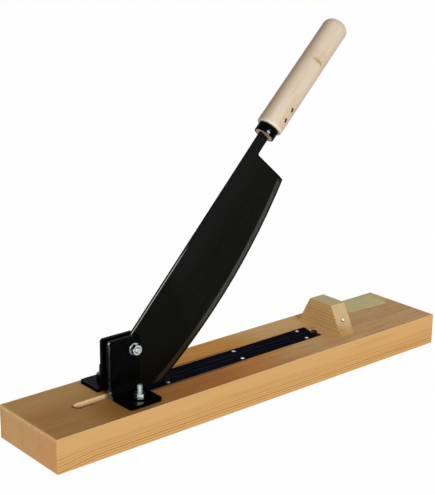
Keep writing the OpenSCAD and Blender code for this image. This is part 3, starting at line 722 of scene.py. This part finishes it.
def soften(node, width, segments=2):
    """Rounds a node's sharp edges by a small width, without touching its own mesh."""
    weld = nodes[node].modifiers.new("weld", "WELD")
    weld.merge_threshold = 1e-6
    bevel = nodes[node].modifiers.new("round_edges", "BEVEL")
    bevel.width = width
    bevel.segments = segments
    bevel.limit_method = "ANGLE"
    bevel.angle_limit = math.radians(40)
    bevel.use_clamp_overlap = True
    shade = nodes[node].modifiers.new("even_shading", "WEIGHTED_NORMAL")
    shade.weight = 60


def soften_all():
    """Rounds the edges that catch the light, each by its own small width."""
    for node in ("front_bracket", "rear_bracket"):
        soften(node, 0.8 * MM, 3)
    for node in ("front_counter_bar", "rear_counter_bar", "blade"):
        soften(node, 0.35 * MM)
    soften("rest_block", 0.5 * MM)
    for node in ("foot_nut_washers", "pivot_nut_washer"):
        soften(node, 0.25 * MM)
    # Keeps the grip's flat faces from showing where its shadow begins.
    nodes["handle"].shadow_terminator_geometry_offset = 0.3


def outline(radius_at, height_at):
    """Closed row of points about the Z axis. Both functions take the angle, the second also the radius."""
    points = []
    for k in range(SIDES):
        angle = 2 * math.pi * k / SIDES
        radius = radius_at(angle)
        points.append((radius * math.cos(angle), radius * math.sin(angle), height_at(angle, radius)))
    return points


def circle(radius, height):
    return outline(lambda angle: radius, lambda angle, r: height)


def skin(build, place, rows):
    """Joins rows of points into one closed surface and sets it in place."""
    loops = [[build.verts.new(place @ Vector(point)) for point in row] for row in rows]
    for low, high in zip(loops, loops[1:]):
        for k in range(SIDES):
            after = (k + 1) % SIDES
            build.faces.new((low[k], low[after], high[after], high[k]))
    build.faces.new(loops[0])
    build.faces.new(loops[-1])


def make_piece(name, build, material, slot, *stands_for):
    """Object of a finished mesh, fixed to the base."""
    bmesh.ops.recalc_face_normals(build, faces=build.faces[:])
    mesh = bpy.data.meshes.new(name)
    build.to_mesh(mesh)
    build.free()
    mesh.shade_smooth()
    mesh.set_sharp_from_angle(angle=math.radians(38))
    mesh.materials.append(material)
    piece = bpy.data.objects.new(name, mesh)
    bpy.context.scene.collection.objects.link(piece)
    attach(piece, "base")
    if stands_for:
        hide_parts(*stands_for)
    return piece


def head_side(angle):
    """Distance from a bolt head's middle to its flats."""
    return HEAD_FLATS / 2 / math.cos(angle % (math.pi / 3) - math.pi / 6)


def thread_radius(height, angle, length):
    """Distance from a bolt's middle to its thread, which runs in after the shank and is coned at the tip."""
    turn = (height / THREAD_PITCH - angle / (2 * math.pi)) % 1.0
    run_in = min(1.0, (height - length + THREAD_LENGTH) / THREAD_PITCH)
    depth = THREAD_DEPTH * (1 - abs(2 * turn - 1)) * run_in
    return BOLT_RADIUS - max(depth, height - length + 1 * MM)


def bolt_rows(length):
    """Rows of points of a hexagon bolt of the given whole length, its head from height 0."""
    turned = 0.95 * HEAD_FLATS / 2
    rows = [
        circle(turned, 0),
        outline(head_side, lambda angle, radius: 0.5 * (radius - turned)),
        outline(head_side, lambda angle, radius: HEAD_HEIGHT),
        circle(BOLT_RADIUS, HEAD_HEIGHT),
    ]
    steps = round(6 * THREAD_LENGTH / THREAD_PITCH)
    for i in range(steps + 1):
        height = length - THREAD_LENGTH * (1 - i / steps)
        rows.append(outline(lambda angle: thread_radius(height, angle, length), lambda angle, radius: height))
    return rows


def screw_head_height(radius, angle):
    """Height of a screw's domed head above the bar, with its crossed recess."""
    dome = (SCREW_HEAD_RADIUS ** 2 + SCREW_HEAD_HEIGHT ** 2) / (2 * SCREW_HEAD_HEIGHT)
    height = SCREW_HEAD_HEIGHT - dome + math.sqrt(dome ** 2 - radius ** 2)
    off_arm = radius * min(abs(math.cos(angle)), abs(math.sin(angle)))
    within_arm = min(1.0, max(0.0, (RECESS_HALF - off_arm) / RECESS_WALL))
    within_length = min(1.0, max(0.0, (RECESS_REACH - radius) / RECESS_RUN_OUT))
    return height - RECESS_DEPTH * within_arm * within_length


def screw_rows(turn):
    """Rows of points of a bar screw from its point to the middle of its head. Height 0 is the bar's top."""
    rows = [
        circle(0.2 * MM, -SCREW_LENGTH + 0.1 * MM),
        circle(SCREW_RADIUS, -SCREW_LENGTH + 4 * MM),
        circle(SCREW_RADIUS, 0),
    ]
    steps = 18
    for i in range(steps):
        reach = SCREW_HEAD_RADIUS * (1 - i / steps)
        rows.append(outline(
            lambda angle: reach,
            lambda angle, radius: screw_head_height(radius, angle - turn),
        ))
    return rows


def make_bolts():
    """Foot bolts and pivot bolt with their threads cut."""
    build = bmesh.new()
    middle = (bolts_low.x + bolts_high.x) / 2
    for y in (bolts_low.y + HEAD_FLATS / 2, bolts_high.y - HEAD_FLATS / 2):
        skin(build, Matrix.Translation((middle, y, bolts_low.z)), bolt_rows(bolts_high.z - bolts_low.z))
    make_piece("foot_bolts_threaded", build, LOOKS["zinc"], "zinc", "foot_bolts")
    build = bmesh.new()
    lying = Matrix.Rotation(math.radians(90), 4, "X")
    place = Matrix.Translation((pivot.x, pivot_bolt_high.y, pivot.z)) @ lying
    skin(build, place, bolt_rows(pivot_bolt_high.y - pivot_bolt_low.y))
    make_piece("pivot_bolt_threaded", build, LOOKS["zinc"], "zinc", "pivot_bolt")


def make_screws(node, turns):
    """A bar's three screws with crossed heads, each stopped at its own turn."""
    low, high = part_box(node)
    last = high.x - SCREW_HEAD_RADIUS
    build = bmesh.new()
    for x, turn in zip((low.x + SCREW_HEAD_RADIUS, last - SCREW_PITCH, last), turns):
        place = Matrix.Translation((x, (low.y + high.y) / 2, bar_top))
        skin(build, place, screw_rows(math.radians(turn)))
    make_piece(node + "_crossed", build, LOOKS["zinc"], "zinc", node)


def make_label():
    """Bare paper label stuck on the board behind the rest block, its edges not quite flat."""
    corners = [Vector(corner) for corner in LABEL_CORNERS]
    steps_long, steps_wide = 24, 16
    build = bmesh.new()
    rows = []
    for j in range(steps_wide + 1):
        row = []
        for i in range(steps_long + 1):
            u, v = i / steps_long, j / steps_wide
            flat = (corners[0].lerp(corners[1], u)).lerp(corners[3].lerp(corners[2], u), v) * MM
            near_edge = abs(2 * u - 1) ** 8 + abs(2 * v - 1) ** 8
            lift = LABEL_LIFT * near_edge * (0.6 + 0.4 * math.sin(9 * u + 5 * v))
            row.append(build.verts.new((flat.x, flat.y, board_high.z + LABEL_GAP + lift)))
        rows.append(row)
    for j in range(steps_wide):
        for i in range(steps_long):
            build.faces.new((rows[j][i], rows[j + 1][i], rows[j + 1][i + 1], rows[j][i + 1]))
    label = make_piece("label", build, label_paper(), "block_wood")
    thicken = label.modifiers.new("paper", "SOLIDIFY")
    thicken.thickness = LABEL_THICK
    thicken.offset = 1


def sun(name, towards, strength, spread):
    """Soft lamp whose light comes from the given direction."""
    data = bpy.data.lights.new(name, "SUN")
    data.energy = strength
    data.angle = math.radians(spread)
    lamp = bpy.data.objects.new(name, data)
    lamp.rotation_euler = Vector(towards).to_track_quat("Z", "Y").to_euler()
    bpy.context.scene.collection.objects.link(lamp)


def seen_directly(tree):
    """1 for rays from the camera and for mirrored or refracted ones, otherwise 0."""
    path = tree.nodes.new("ShaderNodeLightPath")
    total = path.outputs["Is Camera Ray"]
    for kind in ("Is Glossy Ray", "Is Transmission Ray"):
        add = tree.nodes.new("ShaderNodeMath")
        add.operation = "MAXIMUM"
        tree.links.new(total, add.inputs[0])
        tree.links.new(path.outputs[kind], add.inputs[1])
        total = add.outputs[0]
    return total


def spread_by(tree, factor, low, high):
    """Low where the factor is 0, high where it is 1."""
    spread = tree.nodes.new("ShaderNodeMapRange")
    tree.links.new(factor, spread.inputs["Value"])
    spread.inputs["To Min"].default_value = low
    spread.inputs["To Max"].default_value = high
    return spread.outputs[0]


def make_world():
    """White surroundings that light the object softly."""
    world = bpy.data.worlds.new("studio")
    bpy.context.scene.world = world
    world.use_nodes = True
    tree = world.node_tree
    background = tree.nodes["Background"]
    background.inputs["Color"].default_value = (1, 1, 1, 1)
    tree.links.new(spread_by(tree, seen_directly(tree), AROUND_STRENGTH, 1.0), background.inputs["Strength"])


def make_floor():
    """Wide white floor, softly lit, that keeps a faint shadow."""
    half = FLOOR_HALF
    corners = [(-half, -half, 0), (half, -half, 0), (half, half, 0), (-half, half, 0)]
    mesh = bpy.data.meshes.new("floor")
    mesh.from_pydata(corners, [], [(0, 1, 2, 3)])
    floor = bpy.data.objects.new("floor", mesh)
    floor.location.z = -0.2 * MM
    bpy.context.scene.collection.objects.link(floor)
    material = bpy.data.materials.new("floor_white")
    material.use_nodes = True
    tree = material.node_tree
    tree.nodes.remove(tree.nodes["Principled BSDF"])
    matt = tree.nodes.new("ShaderNodeBsdfDiffuse")
    matt.inputs["Color"].default_value = (0.85, 0.85, 0.85, 1)
    glow = tree.nodes.new("ShaderNodeEmission")
    both = tree.nodes.new("ShaderNodeMixShader")
    tree.links.new(spread_by(tree, seen_directly(tree), FLOOR_GLOW, FLOOR_GLOW_SEEN), both.inputs[0])
    tree.links.new(matt.outputs[0], both.inputs[1])
    tree.links.new(glow.outputs[0], both.inputs[2])
    tree.links.new(both.outputs[0], tree.nodes["Material Output"].inputs["Surface"])
    mesh.materials.append(material)


make_camera()
dress()
soften_all()
make_bolts()
make_screws("front_bar_screws", (20, 65, 38))
make_screws("rear_bar_screws", (52, 8, 75))
make_label()
sun("key", KEY_FROM, KEY_STRENGTH, KEY_SPREAD)
make_world()
make_floor()
bpy.context.scene.view_settings.view_transform = "Standard"
